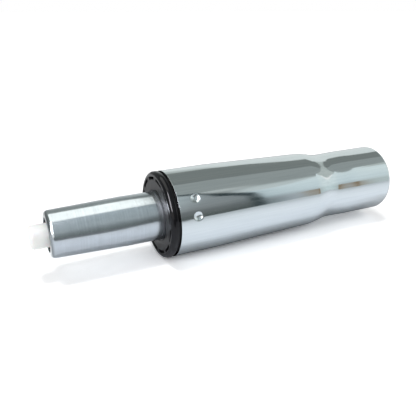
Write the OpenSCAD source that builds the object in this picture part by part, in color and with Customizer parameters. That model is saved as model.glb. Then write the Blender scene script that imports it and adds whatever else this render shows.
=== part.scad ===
// Stool lift cylinder: a short gas lift, lowered, lying on its side.
// Heights are measured along the lift axis from the base end of the column.
// The origin is on the axis at the large end of the base taper, where the stool's base grips it.
// The button end points along -X, the base end along +X, and +Z is up.

/* [Column] */
// Outer diameter of the straight upper part
column_d = 50; // [46:0.5:54]
// Wall thickness of the column
column_wall = 1.5; // [1.2:0.1:1.8]
// Length of the straight part, from the rim down to the taper
straight_len = 27.5; // [24:0.5:34]
// Length of the taper that wedges into the stool's base
taper_len = 64; // [56:1:72]
// Length over which a seat or base taper loses 1 mm of diameter
taper_run = 19.92; // [17:0.01:24]
// Length of the rounded shoulder from the taper down to the waist
shoulder_len = 18.5; // [14:0.5:22]
// Outer diameter at the waist
waist_d = 41.7; // [40.5:0.1:42]
// Length over which the waist opens out to the end part
waist_rise = 5; // [4:0.5:8]
// Outer diameter of the end part below the waist
end_d = 42.5; // [42.2:0.1:43.2]
// Length of the end part below the waist
end_len = 38; // [34:1:46]
// Rounding of the rolled edge at the base end
end_round = 2; // [1.6:0.1:3]
// Width of the flat inside the rolled edge's rounding
end_flat_w = 2.25; // [1.5:0.05:3]
// Rounding of the rim under the collar
rim_round = 0.5; // [0.3:0.1:0.7]

/* [Dimples] */
// Diameter of a punched dimple at the surface
dimple_d = 6; // [4:0.5:7]
// Depth of a punched dimple
dimple_depth = 1; // [0.7:0.1:1.2]
// Distance from the rim down to the dimples
dimple_drop = 10.2; // [8.5:0.1:14]
// Angle between the two dimples of a pair
dimple_pitch = 23; // [18:1:30]
// Angle of a pair above the horizontal
dimple_turn = 24.5; // [0:0.5:90]
// Pairs of dimples round the column
dimple_pairs = 2; // [1:1:4]

/* [Guide bush] */
// How far the collar stands out past the column all round
collar_over = 0.1; // [0:0.05:0.3]
// Height of the collar above the rim
collar_h = 5.5; // [5:0.1:7]
// Rounding of the collar's front bead
bead_round = 2.2; // [1.5:0.1:2.5]
// Height of the shadow groove between collar and rim
groove_h = 1.4; // [1:0.1:1.6]
// How far the web lies behind the collar's front
web_step = 0.3; // [0.2:0.1:0.8]
// Thickness of the slotted web
web_t = 2; // [1.6:0.1:3.6]
// Radial width of the bevel round the tube
bevel_w = 1.2; // [0.8:0.1:1.8]
// Depth of the bevel round the tube
bevel_d = 0.9; // [0.4:0.1:1.2]
// Length of the guide sleeve below the rim
sleeve_len = 58; // [50:1:62]
// Wall thickness of the guide sleeve
sleeve_wall = 2.2; // [1.8:0.1:3]
// Slots in the web, with one rib between each two
slot_count = 12; // [8:1:16]
// Radial width of a slot
slot_w = 1.7; // [1:0.1:2]
// Width of the web left between the slots and the shell ring
slot_land = 0.15; // [0.1:0.05:0.4]
// Width of the bridge left between two slots
bridge_w = 2.9; // [2.2:0.1:5]
// Turn of the first slot
slot_turn = 17; // [0:1:30]
// Thickness of a rib
rib_t = 1.6; // [1.2:0.1:2]
// How far the ribs end above the sleeve's foot
rib_rise = 2; // [1:0.5:6]
// Height over which a rib's foot slopes out to the column
rib_slope = 6; // [4:0.5:10]
// Thickness of the shell rings that fit the column
shell_wall = 1; // [0.8:0.1:1.3]
// Height of the upper shell ring below the rim
shell_h = 4; // [3:0.1:4.2]
// Height of the lower shell ring
lower_ring_h = 5; // [3:0.5:6]

/* [Pressure tube] */
// Outer diameter of the pressure tube
tube_d = 28; // [27:0.5:29]
// Wall thickness of the pressure tube
tube_wall = 1.75; // [1.5:0.05:1.9]
// Length that stands out of the collar when lowered
tube_showing = 60.5; // [58:0.5:70]
// Length of the seat taper at the top
seat_taper_len = 42; // [36:1:48]
// Rounding of the rolled lip round the button
lip_round = 2.4; // [2:0.1:3]
// Width of the upper lip's flat inside its rounding
lip_flat_w = 1.25; // [0.8:0.05:1.8]
// Rounding of the rolled lower lip
foot_round = 2; // [1.8:0.1:2.6]
// Width of the lower lip's flat inside its rounding
foot_flat_w = 2.5; // [1.5:0.1:3.5]

/* [Lift] */
// Travel of the pressure tube
stroke = 60; // [50:1:64]
// Travel of the release button
press = 3; // [2:0.1:3.4]

/* [Release button] */
// Diameter of the button
button_d = 13; // [12:0.1:14]
// Length of the button that stands out of the lip
button_showing = 9; // [7:0.1:12]
// Solid length of the button above its pin
button_cap = 6; // [4:0.5:8]
// Whole length of the button
button_len = 16; // [15:0.1:19]
// Rounding of the button's tip
button_round = 2; // [1:0.1:3]

/* [Piston rod] */
// Diameter of the piston rod
rod_d = 10; // [9:0.5:10.5]
// Diameter of the rod's lower spigot, through the bearing
rod_foot_d = 8; // [7:0.5:8.5]
// Diameter of the rod's upper spigot, through the piston
rod_neck_d = 7; // [6:0.5:7.5]
// How far the rod's foot lies above the base end
rod_foot_h = 2.2; // [1:0.1:2.6]
// Depth of the clip's groove
clip_groove = 0.9; // [0.6:0.1:1.2]
// Chamfer of small turned and moulded edges
chamfer = 0.5; // [0.3:0.1:0.8]

/* [Thrust bearing] */
// Sheet thickness of the pressed base plate
plate_t = 2.5; // [2:0.1:3]
// Height of the raised middle of the base plate above its flange
plate_rise = 6; // [5:0.1:7]
// Width of the base plate's raised middle outside the race
plate_hub_w = 1; // [0.5:0.1:2]
// Distance over which the raised middle slopes down to the flange
plate_slope = 3; // [2:0.1:4]
// Thickness of the retaining clip
clip_t = 1; // [0.8:0.1:1.2]
// Width of the retaining clip outside the rod
clip_w = 3; // [2:0.1:3.5]
// Thickness of the washer over the clip
washer_t = 1.2; // [1:0.1:1.5]
// Width of the washer outside the rod
washer_w = 4; // [3:0.1:5]
// Diameter of a bearing ball
ball_d = 4; // [3.5:0.1:4.2]
// Balls in the bearing
ball_count = 10; // [6:1:11]
// Width of a race inside its balls
race_in_w = 1.7; // [1.4:0.1:2.2]
// Width of a race outside its balls
race_out_w = 1.3; // [1:0.1:2]
// Thickness of a bearing race
race_t = 2; // [1.6:0.1:2.4]
// Depth of the ball groove in a race
race_groove = 0.6; // [0.4:0.1:0.8]
// Thickness of the ball cage
cage_t = 1.6; // [1.2:0.1:1.8]

/* [Bumper] */
// Thickness of the cup washer under the bumper
cup_t = 1.2; // [1:0.1:1.5]
// Height of the cup washer's rim above its floor
cup_rim_h = 2; // [1.5:0.1:3]
// Height of the rubber bumper
bumper_h = 12; // [10:0.5:14]
// Diameter of the rubber bumper
bumper_d = 24; // [23:0.5:26]
// Depth of the bumper's waist
bumper_waist = 1.2; // [0.6:0.1:2]

/* [Seals and rod guide] */
// Thickness of the support washer in the foot of the tube
support_t = 2; // [1.5:0.1:3]
// Height of the rod seal
seal_h = 7; // [6:0.5:8]
// Depth of the seal's groove between its lips
seal_lip = 2.6; // [1.5:0.1:3.5]
// Width of the seal's groove at its mouth
seal_mouth = 3.6; // [2:0.1:4.5]
// Width of the seal's groove at its floor
seal_floor = 0.8; // [0.4:0.1:1.4]
// Height of the rod guide's flange
guide_h = 8; // [6:0.5:10]
// Height of the rod guide's spigot in the inner tube
guide_spigot_h = 6; // [4:0.5:8]
// Gas notches in the rod guide
notch_count = 3; // [2:1:4]
// Width of a gas notch
notch_w = 2.4; // [1.5:0.1:3]
// Depth of a gas notch into the spigot
notch_depth = 1; // [0.6:0.1:1.5]
// Depth of a gas notch into the flange
notch_sink = 1.5; // [1:0.1:2.5]

/* [Inner tube and piston] */
// Outer diameter of the inner tube
inner_d = 20; // [19:0.5:21]
// Wall thickness of the inner tube
inner_wall = 1; // [0.8:0.1:1.2]
// Wall thickness of the spacer sleeve that ends the stroke
spacer_wall = 1.7; // [1.4:0.1:2.2]
// Height of the piston
piston_h = 10; // [8:0.5:12]
// Thickness of the washer under the piston
piston_washer_t = 1.5; // [1:0.1:2]
// Height of the piston ring
ring_h = 3; // [2:0.1:4]
// Radial thickness of the piston ring
ring_w = 1.6; // [1.2:0.1:2]
// Height of the piston nut
nut_h = 3.5; // [3:0.1:4.5]
// Width of the piston nut across its corners
nut_d = 13; // [12:0.5:14]
// Length of the rod that stands out of its nut
rod_showing = 0.5; // [0.3:0.1:1.5]
// Gap between the top of the rod and the pressed valve pin
pin_room = 1; // [0.6:0.1:2]

/* [Valve] */
// Diameter of the valve pin
pin_d = 4; // [3.5:0.1:4.5]
// Diameter of the pin's slim neck, which opens the port
pin_neck_d = 2.6; // [2.2:0.1:3]
// Diameter of the pin's lower head
pin_head_d = 6.4; // [6:0.1:7]
// Height of the pin's lower head
pin_head_h = 2; // [1.5:0.1:3]
// Height of the valve body
valve_h = 20; // [18.5:0.5:24]
// Width of the recess round the button, in the valve body
recess_w = 2.5; // [1.5:0.1:2.7]
// Height of the port sleeve
sleeve_h = 10; // [9:0.5:12]
// Diameter of the gas chamber in the port sleeve
chamber_d = 8; // [7:0.5:9]
// Height of the land below the chamber, which the unpressed pin closes
land_h = 1.5; // [1:0.1:1.8]
// Diameter of a gas port
port_d = 1.6; // [1.2:0.1:2]
// Gas ports round the port sleeve
port_count = 4; // [2:1:6]
// Section of the seals round the valve body
body_seal_d = 2.2; // [1.8:0.1:2.6]
// Section of the seals round the valve pin
pin_seal_d = 1.6; // [1.2:0.1:1.8]
// Height of the first body seal above the foot of the valve body
body_seal_at = 3; // [2.5:0.1:4]
// Height of the first pin seal above the foot of the valve body
pin_seal_at = 2; // [1.5:0.1:3]

/* [Hidden] */
$fn = 96;

// Clearances
run_gap = 0.05;
seat_gap = 0.05;
free_gap = 0.3;
over = 0.01;

// Column radii and heights
column_r = column_d / 2;
bore_r = column_r - column_wall;
end_r = end_d / 2;
end_bore_r = end_r - end_round - end_flat_w;
taper_top_h = end_len + waist_rise + shoulder_len + taper_len;
taper_foot_h = taper_top_h - taper_len;
waist_h = end_len + waist_rise;
rim_h = taper_top_h + straight_len;
taper_foot_r = column_r - taper_len / taper_run / 2;
dimple_h = rim_h - dimple_drop;
dimple_ball_r = (pow(dimple_d / 2, 2) + pow(dimple_depth, 2)) / dimple_depth / 2;
dimple_ball_at = column_r - dimple_depth + dimple_ball_r;

// Guide bush
front_h = rim_h + collar_h;
web_top_h = front_h - web_step;
web_foot_h = web_top_h - web_t;
collar_r = column_r + collar_over;
lip_ease = 0.4;
lip_rise = 0.6;
sleeve_r = tube_d / 2 + run_gap + sleeve_wall;
bush_seat_r = bore_r - seat_gap;
shell_in_r = bush_seat_r - shell_wall;
slot_out_r = shell_in_r - slot_land;
slot_in_r = slot_out_r - slot_w;
slot_span = 360 / slot_count - 2 * asin(bridge_w / 2 / slot_in_r);
lock_r = column_r - dimple_depth - column_wall - free_gap;
lock_margin = 1;
lock_half = dimple_d / 2 + lock_margin;
sleeve_foot_h = rim_h - sleeve_len;
rib_foot_h = sleeve_foot_h + rib_rise;

// Bottom stack, from the base plate up
foot_r = rod_foot_d / 2;
ball_ring_r = foot_r + race_in_w + ball_d / 2;
race_r = ball_ring_r + ball_d / 2 + race_out_w;
hub_r = race_r + plate_hub_w;
hub_shift = 0.4 * plate_t;
plate_r = end_r - column_wall - seat_gap;
hub_foot_h = column_wall + plate_rise;
hub_top_h = hub_foot_h + plate_t;
washer_top_h = hub_foot_h - free_gap / 2;
clip_top_h = washer_top_h - washer_t;
lower_race_top_h = hub_top_h + race_t;
groove_ease = 0.1;
ball_gap = 0.02;
ball_h = lower_race_top_h - race_groove + ball_gap + ball_d / 2;
upper_race_foot_h = ball_h + ball_d / 2 + ball_gap - race_groove;
cup_foot_h = upper_race_foot_h + race_t;
rod_shoulder_h = cup_foot_h + cup_t;
bumper_top_h = rod_shoulder_h + bumper_h;
foot_h = bumper_top_h + free_gap;

// Pressure tube and what it holds, from the foot up
tube_r = tube_d / 2;
tube_bore_r = tube_r - tube_wall;
tube_top_h = front_h + tube_showing;
seat_foot_h = tube_top_h - seat_taper_len;
tip_r = tube_r - seat_taper_len / taper_run / 2;
lip_bore_r = tip_r - lip_round - lip_flat_w;
foot_bore_r = tube_r - foot_round - foot_flat_w;
support_foot_h = foot_h + tube_wall;
seal_foot_h = support_foot_h + support_t;
guide_foot_h = seal_foot_h + seal_h;
inner_foot_h = guide_foot_h + guide_h;
spacer_foot_h = inner_foot_h + guide_spigot_h;
inner_bore_r = inner_d / 2 - inner_wall;
valve_top_h = tube_top_h - tube_wall;
valve_foot_h = valve_top_h - valve_h;
port_foot_h = valve_foot_h - sleeve_h;
port_h = valve_foot_h - sleeve_h / 2;
chamber_foot_h = port_foot_h + land_h;
chamber_top_h = valve_foot_h - land_h;
pin_foot_h = port_foot_h - free_gap / 2 - pin_head_h;
neck_foot_h = chamber_foot_h + free_gap;
neck_slope = 0.7;
body_seal_heights = [for (i = [0, 1]) valve_foot_h + body_seal_at + 2 * i * body_seal_d];
pin_seal_r = pin_d / 2 + run_gap + pin_seal_d / 2;
pin_seal_heights = [for (i = [0, 1]) valve_foot_h + pin_seal_at + 2 * i * pin_seal_d];

// Button
button_top_h = tube_top_h + button_showing;
button_foot_h = button_top_h - button_len;
recess_r = button_d / 2 + recess_w;
recess_floor_h = button_foot_h - press - free_gap;
socket_top_h = button_top_h - button_cap;

// Piston stack, from the top of the rod down
rod_top_h = pin_foot_h - press - pin_room;
nut_foot_h = rod_top_h - rod_showing - nut_h;
piston_foot_h = nut_foot_h - piston_h;
piston_shoulder_h = piston_foot_h - piston_washer_t;
spacer_top_h = piston_shoulder_h - stroke - free_gap;
spacer_in_r = rod_d / 2 + free_gap;
spacer_r = spacer_in_r + spacer_wall;

// Points of an arc from one angle to another
function arc(x, y, r, from, to, steps = 8) =
    [for (i = [0 : steps]) let (a = from + (to - from) * i / steps) [x + r * cos(a), y + r * sin(a)]];

// Points of a smooth rise between two heights, level with its neighbours at both ends
function blend(r0, h0, r1, h1, steps = 14) =
    [for (i = [1 : steps - 1]) [r0 + (r1 - r0) * (1 - cos(180 * i / steps)) / 2, h0 + (h1 - h0) * i / steps]];

// Radius of the pressure tube's outside at a height in its seat taper
function seat_r(h) = tube_r - max(0, h - seat_foot_h) / taper_run / 2;

// Radius of the column's bore at a height in the straight part or the taper
function column_bore_r(h) = bore_r - max(0, taper_top_h - h) / taper_run / 2;

// The lift axis stands up while a piece is drawn, and is then laid along -X
module lay_down() {
    rotate([0, -90, 0]) translate([0, 0, -taper_top_h]) children();
}

// A solid of revolution from its half section
module turned(points) {
    rotate_extrude() polygon(points);
}

// A flat ring between two heights
module ring(r_out, r_in, foot, top) {
    turned([[r_in, foot], [r_out, foot], [r_out, top], [r_in, top]]);
}

// Outline of the column, set in by a wall: 0 gives the outside
function column_side(inset) = concat(
    [[end_r - inset, end_len]],
    blend(end_r - inset, end_len, waist_d / 2 - inset, waist_h, 6),
    [[waist_d / 2 - inset, waist_h]],
    blend(waist_d / 2 - inset, waist_h, taper_foot_r - inset, taper_foot_h),
    [[taper_foot_r - inset, taper_foot_h], [column_r - inset, taper_top_h]]
);

function reversed(list) = [for (i = [len(list) - 1 : -1 : 0]) list[i]];

module outer_column() {
    color("gainsboro")
    lay_down()
    difference() {
        union() {
            turned(concat(
                [[end_bore_r, 0]],
                arc(end_r - end_round, end_round, end_round, -90, 0),
                column_side(0),
                arc(column_r - rim_round, rim_h - rim_round, rim_round, 0, 90, 5),
                [[bore_r, rim_h]],
                reversed(column_side(column_wall)),
                [[end_r - column_wall, column_wall], [end_bore_r, column_wall]]
            ));
            intersection() {
                dimple_places() sphere(r = dimple_ball_r + column_wall);
                cylinder(r = column_r - column_wall / 2, h = rim_h);
            }
        }
        dimple_places() sphere(r = dimple_ball_r);
    }
}

module dimple_places() {
    for (pair = [0 : dimple_pairs - 1], side = [-0.5, 0.5])
        rotate([0, 0, dimple_turn - 90 + 360 * pair / dimple_pairs + side * dimple_pitch])
            translate([dimple_ball_at, 0, dimple_h]) children();
}

// Moulded bush: its collar closes the column, and its sleeve guides the pressure tube
module guide_bush() {
    color([0.09, 0.09, 0.1])
    lay_down()
    difference() {
        union() {
            turned(concat(
                [[tube_r + run_gap, sleeve_foot_h], [sleeve_r, sleeve_foot_h], [sleeve_r, web_foot_h],
                 [shell_in_r, web_foot_h], [shell_in_r, rim_h - shell_h], [bush_seat_r, rim_h - shell_h],
                 [bush_seat_r, rim_h], [column_r - column_wall / 2, rim_h],
                 [column_r - column_wall / 2, rim_h + groove_h],
                 [collar_r - lip_ease, rim_h + groove_h], [collar_r, rim_h + groove_h + lip_rise]],
                arc(collar_r - bead_round, front_h - bead_round, bead_round, 0, 90),
                [[shell_in_r, front_h], [shell_in_r - web_step, web_top_h],
                 [tube_r + run_gap + bevel_w, web_top_h],
                 [tube_r + run_gap, web_top_h - bevel_d]]
            ));
            ring(bush_seat_r, shell_in_r, taper_top_h, taper_top_h + lower_ring_h);
            for (i = [0 : slot_count - 1])
                rotate([0, 0, slot_turn + 360 * (i + 0.5) / slot_count])
                    bush_rib();
        }
        difference() {
            translate([0, 0, dimple_h - lock_half])
                cylinder(r = column_r, h = 2 * lock_half);
            translate([0, 0, dimple_h - lock_half - over])
                cylinder(r = lock_r, h = 2 * lock_half + 2 * over);
        }
        for (i = [0 : slot_count - 1])
            rotate([0, 0, slot_turn + 360 * i / slot_count])
                web_slot();
    }
}

// Flat rib from the sleeve to the column's bore, tapering in with the bore
module bush_rib() {
    translate([0, rib_t / 2, 0])
        rotate([90, 0, 0])
            linear_extrude(rib_t)
                polygon([[sleeve_r - sleeve_wall / 2, rib_foot_h],
                    [sleeve_r + sleeve_wall / 2, rib_foot_h],
                    [column_bore_r(rib_foot_h + rib_slope) - free_gap, rib_foot_h + rib_slope],
                    [bore_r - free_gap, taper_top_h],
                    [shell_in_r + shell_wall / 2, taper_top_h + over],
                    [shell_in_r + shell_wall / 2, web_foot_h + over],
                    [sleeve_r - sleeve_wall / 2, web_foot_h + over]]);
}

// Curved slot with square ends, through the web beside the shell ring
module web_slot() {
    translate([0, 0, web_foot_h - over])
        linear_extrude(web_t + web_step + 2 * over)
            intersection() {
                difference() {
                    circle(r = slot_out_r);
                    circle(r = slot_in_r);
                }
                polygon([[0, 0],
                    column_d * [cos(slot_span / 2), -sin(slot_span / 2)],
                    column_d * [cos(slot_span / 2), sin(slot_span / 2)]]);
            }
}

// Pressed steel plate in the base end, raised in the middle over the clip
module base_plate() {
    color("lightsteelblue")
    lay_down()
    turned([[plate_r, column_wall], [hub_r + plate_slope - hub_shift, column_wall],
        [hub_r - hub_shift, hub_foot_h], [foot_r + free_gap, hub_foot_h], [foot_r + free_gap, hub_top_h],
        [hub_r, hub_top_h], [hub_r + plate_slope, column_wall + plate_t], [plate_r, column_wall + plate_t]]);
}

// Race with its ball groove facing up or down
module race(foot, bore_gap, groove_up) {
    groove_r = ball_d / 2 + groove_ease;
    groove_at = groove_up ? foot + race_t - race_groove + groove_r : foot + race_groove - groove_r;
    difference() {
        ring(race_r, foot_r + bore_gap, foot, foot + race_t);
        rotate_extrude() translate([ball_ring_r, groove_at]) circle(r = groove_r);
    }
}

module lower_race() {
    color("slategray") lay_down() race(hub_top_h, free_gap, true);
}

module upper_race() {
    color("slategray") lay_down() race(upper_race_foot_h, seat_gap, false);
}

module ball_places() {
    for (i = [0 : ball_count - 1])
        rotate([0, 0, 360 * i / ball_count])
            translate([ball_ring_r, 0, ball_h]) children();
}

module bearing_balls() {
    color("silver") lay_down() ball_places() sphere(d = ball_d, $fn = 32);
}

module ball_cage() {
    color("goldenrod")
    lay_down()
    difference() {
        ring(race_r - 2 * free_gap, foot_r + 2 * free_gap, ball_h - cage_t / 2, ball_h + cage_t / 2);
        ball_places() cylinder(r = ball_d / 2 + 2 * run_gap, h = 2 * cage_t, center = true);
    }
}

// Steel cup under the bumper, with an upturned rim
module cup_washer() {
    wall_r = bumper_d / 2 + free_gap / 2;
    color("lightsteelblue")
    lay_down()
    turned([[foot_r + seat_gap, cup_foot_h], [wall_r + cup_t, cup_foot_h],
        [wall_r + cup_t, rod_shoulder_h + cup_rim_h], [wall_r, rod_shoulder_h + cup_rim_h],
        [wall_r, rod_shoulder_h], [foot_r + seat_gap, rod_shoulder_h]]);
}

module rubber_bumper() {
    r = bumper_d / 2;
    low = rod_shoulder_h + cup_rim_h + chamfer;
    high = bumper_top_h - 4 * chamfer;
    color([0.12, 0.12, 0.12])
    lay_down()
    turned(concat(
        [[rod_d / 2 + free_gap, rod_shoulder_h], [r, rod_shoulder_h], [r, low]],
        blend(r, low, r - bumper_waist, (low + high) / 2, 6),
        [[r - bumper_waist, (low + high) / 2]],
        blend(r - bumper_waist, (low + high) / 2, r, high, 6),
        [[r, high], [r, bumper_top_h - chamfer], [r - chamfer, bumper_top_h],
         [rod_d / 2 + free_gap, bumper_top_h]]
    ));
}

// Hard chromed rod, held at its foot and carrying the piston
module piston_rod() {
    neck_r = rod_neck_d / 2;
    groove_r = foot_r - clip_groove;
    color("whitesmoke")
    lay_down()
    turned([[0, rod_foot_h], [foot_r - chamfer, rod_foot_h], [foot_r, rod_foot_h + chamfer],
        [foot_r, clip_top_h - clip_t - seat_gap], [groove_r, clip_top_h - clip_t - seat_gap],
        [groove_r, clip_top_h + seat_gap], [foot_r, clip_top_h + seat_gap],
        [foot_r, rod_shoulder_h], [rod_d / 2, rod_shoulder_h],
        [rod_d / 2, piston_shoulder_h], [neck_r, piston_shoulder_h],
        [neck_r, rod_top_h - chamfer], [neck_r - chamfer, rod_top_h], [0, rod_top_h]]);
}

module clip_washer() {
    color("silver") lay_down() ring(foot_r + washer_w, foot_r + seat_gap, clip_top_h, washer_top_h);
}

// E shaped clip, pushed sideways into the rod's groove
module retaining_clip() {
    seat = foot_r - clip_groove + seat_gap / 2;
    mouth = 1.6 * seat;
    notch_r = 0.3 * clip_w;
    notch_turn = 52;
    color("dimgray")
    lay_down()
    translate([0, 0, clip_top_h - clip_t])
    linear_extrude(clip_t)
    difference() {
        circle(r = foot_r + clip_w);
        circle(r = seat);
        translate([0, -mouth / 2]) square([foot_r + 2 * clip_w, mouth]);
        for (turn = [notch_turn, -notch_turn, 180 - notch_turn, notch_turn - 180])
            rotate(turn) translate([seat + notch_r / 2, 0]) circle(r = notch_r);
    }
}

module piston_washer() {
    color("silver")
    lay_down()
    ring(spacer_r, rod_neck_d / 2 + seat_gap, piston_shoulder_h, piston_foot_h);
}

// Piston, with a groove for its split ring
module piston() {
    r = inner_bore_r - run_gap;
    mid = (piston_foot_h + nut_foot_h) / 2;
    deep = r - ring_w - seat_gap;
    color("burlywood")
    lay_down()
    turned([[rod_neck_d / 2 + seat_gap, piston_foot_h],
        [r - chamfer, piston_foot_h], [r, piston_foot_h + chamfer],
        [r, mid - ring_h / 2 - seat_gap], [deep, mid - ring_h / 2 - seat_gap],
        [deep, mid + ring_h / 2 + seat_gap], [r, mid + ring_h / 2 + seat_gap],
        [r, nut_foot_h - chamfer], [r - chamfer, nut_foot_h], [rod_neck_d / 2 + seat_gap, nut_foot_h]]);
}

// Split ring in the piston's groove
module piston_ring() {
    mid = (piston_foot_h + nut_foot_h) / 2;
    color("darkslategray")
    lay_down()
    difference() {
        ring(inner_bore_r - run_gap / 2, inner_bore_r - run_gap - ring_w, mid - ring_h / 2, mid + ring_h / 2);
        translate([0, -free_gap / 2, mid - ring_h]) cube([inner_d, free_gap, 2 * ring_h]);
    }
}

module piston_nut() {
    color("silver")
    lay_down()
    translate([0, 0, nut_foot_h])
    difference() {
        cylinder(d = nut_d, h = nut_h, $fn = 6);
        translate([0, 0, -over]) cylinder(r = rod_neck_d / 2 + seat_gap, h = nut_h + 2 * over);
    }
}

// Steel tube with a seat taper and a lip rolled in at each end
module pressure_tube() {
    tip_in_r = tip_r - tube_wall;
    color("lightslategray")
    lay_down()
    turned(concat(
        [[foot_bore_r, foot_h]],
        arc(tube_r - foot_round, foot_h + foot_round, foot_round, -90, 0),
        [[tube_r, seat_foot_h]],
        arc(tip_r - lip_round, tube_top_h - lip_round, lip_round, 0, 90, 10),
        [[lip_bore_r, tube_top_h], [lip_bore_r, valve_top_h], [tip_in_r, valve_top_h],
         [tube_bore_r, seat_foot_h], [tube_bore_r, support_foot_h], [foot_bore_r, support_foot_h]]
    ));
}

module support_washer() {
    color("silver")
    lay_down()
    ring(tube_bore_r - seat_gap, rod_d / 2 + free_gap, support_foot_h, seal_foot_h);
}

// Rubber seal with a groove between its lips, open to the gas
module rod_seal() {
    r_in = rod_d / 2 + run_gap;
    r_out = tube_bore_r - seat_gap;
    mid = (r_in + r_out) / 2;
    color([0.15, 0.15, 0.16])
    lay_down()
    turned([[r_in, seal_foot_h], [r_out, seal_foot_h], [r_out, guide_foot_h],
        [mid + seal_mouth / 2, guide_foot_h], [mid + seal_floor / 2, guide_foot_h - seal_lip],
        [mid - seal_floor / 2, guide_foot_h - seal_lip], [mid - seal_mouth / 2, guide_foot_h],
        [r_in, guide_foot_h]]);
}

// Bush for the rod; its notches let the gas pass from the inner tube to the gap round it
module rod_guide() {
    color("darkkhaki")
    lay_down()
    difference() {
        turned([[rod_d / 2 + run_gap, guide_foot_h], [tube_bore_r - seat_gap, guide_foot_h],
            [tube_bore_r - seat_gap, inner_foot_h], [inner_bore_r - seat_gap, inner_foot_h],
            [inner_bore_r - seat_gap, spacer_foot_h], [rod_d / 2 + run_gap, spacer_foot_h]]);
        for (i = [0 : notch_count - 1])
            rotate([0, 0, 360 * i / notch_count])
                translate([inner_bore_r - notch_depth, -notch_w / 2, inner_foot_h - notch_sink])
                    cube([tube_d, notch_w, notch_sink + guide_spigot_h + over]);
    }
}

module gas_ports() {
    for (i = [0 : port_count - 1])
        rotate([0, 0, 360 * i / port_count])
            translate([0, 0, port_h])
                rotate([0, 90, 0]) cylinder(d = port_d, h = inner_d);
}

// Thin tube in which the piston runs, with ports near its top
module inner_tube() {
    color("silver")
    lay_down()
    difference() {
        ring(inner_d / 2, inner_bore_r, inner_foot_h, valve_foot_h);
        gas_ports();
    }
}

// Sleeve on the rod guide; the piston's washer meets it when the lift is raised
module stroke_spacer() {
    color("ivory") lay_down() ring(spacer_r, spacer_in_r, spacer_foot_h, spacer_top_h);
}

// Brass sleeve below the valve body, with the chamber that the pin's neck opens
module port_sleeve() {
    color("gold")
    lay_down()
    difference() {
        ring(inner_bore_r - seat_gap, pin_d / 2 + run_gap, port_foot_h, valve_foot_h);
        ring(chamber_d / 2, pin_d / 4, chamber_foot_h, chamber_top_h);
        gas_ports();
    }
}

// Plug in the top of the pressure tube, recessed for the button and grooved for its seals
module valve_body() {
    high_r = seat_r(valve_top_h) - tube_wall - seat_gap;
    low_r = seat_r(valve_foot_h) - tube_wall - seat_gap;
    color("darkgray")
    lay_down()
    difference() {
        turned([[pin_d / 2 + run_gap, valve_foot_h], [low_r, valve_foot_h], [high_r, valve_top_h],
            [recess_r, valve_top_h], [recess_r, recess_floor_h], [pin_d / 2 + run_gap, recess_floor_h]]);
        for (h = body_seal_heights)
            ring(tube_r, body_seal_r(h) - body_seal_d / 2 - seat_gap,
                h - body_seal_d / 2 - seat_gap, h + body_seal_d / 2 + seat_gap);
        for (h = pin_seal_heights)
            ring(pin_seal_r + pin_seal_d / 2 + seat_gap, pin_d / 4,
                h - pin_seal_d / 2 - seat_gap, h + pin_seal_d / 2 + seat_gap);
    }
}

// Radius of the middle of a body seal, which touches the tube's bore
function body_seal_r(h) = seat_r(h) - tube_wall - seat_gap - body_seal_d / 2;

module body_seals() {
    color([0.2, 0.2, 0.2])
    lay_down()
    for (h = body_seal_heights)
        translate([0, 0, h])
            rotate_extrude() translate([body_seal_r(h), 0]) circle(d = body_seal_d, $fn = 32);
}

module pin_seals() {
    color([0.2, 0.2, 0.2])
    lay_down()
    for (h = pin_seal_heights)
        translate([0, 0, h])
            rotate_extrude() translate([pin_seal_r, 0]) circle(d = pin_seal_d, $fn = 32);
}

// Pin that opens the valve: pressed in, its slim neck bridges the land below the chamber
module valve_pin() {
    r = pin_d / 2;
    color("silver")
    lay_down()
    turned([[0, pin_foot_h], [pin_head_d / 2, pin_foot_h], [pin_head_d / 2, pin_foot_h + pin_head_h],
        [r, pin_foot_h + pin_head_h], [r, neck_foot_h], [pin_neck_d / 2, neck_foot_h + neck_slope],
        [pin_neck_d / 2, chamber_top_h - neck_slope], [r, chamber_top_h], [r, socket_top_h - chamfer],
        [r - chamfer, socket_top_h], [0, socket_top_h]]);
}

// White moulded cap on the valve pin
module release_button() {
    r = button_d / 2;
    color("white")
    lay_down()
    turned(concat(
        [[pin_d / 2 + seat_gap, button_foot_h], [r - chamfer, button_foot_h], [r, button_foot_h + chamfer]],
        arc(r - button_round, button_top_h - button_round, button_round, 0, 90),
        [[0, button_top_h], [0, socket_top_h + seat_gap], [pin_d / 2 + seat_gap, socket_top_h + seat_gap]]
    ));
}

outer_column();
guide_bush();
base_plate();
lower_race();
ball_cage();
bearing_balls();
upper_race();
cup_washer();
rubber_bumper();
piston_rod();
clip_washer();
retaining_clip();
piston_washer();
piston();
piston_ring();
piston_nut();
pressure_tube();
support_washer();
rod_seal();
rod_guide();
inner_tube();
stroke_spacer();
port_sleeve();
valve_body();
body_seals();
pin_seals();
valve_pin();
release_button();
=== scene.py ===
import math

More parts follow.
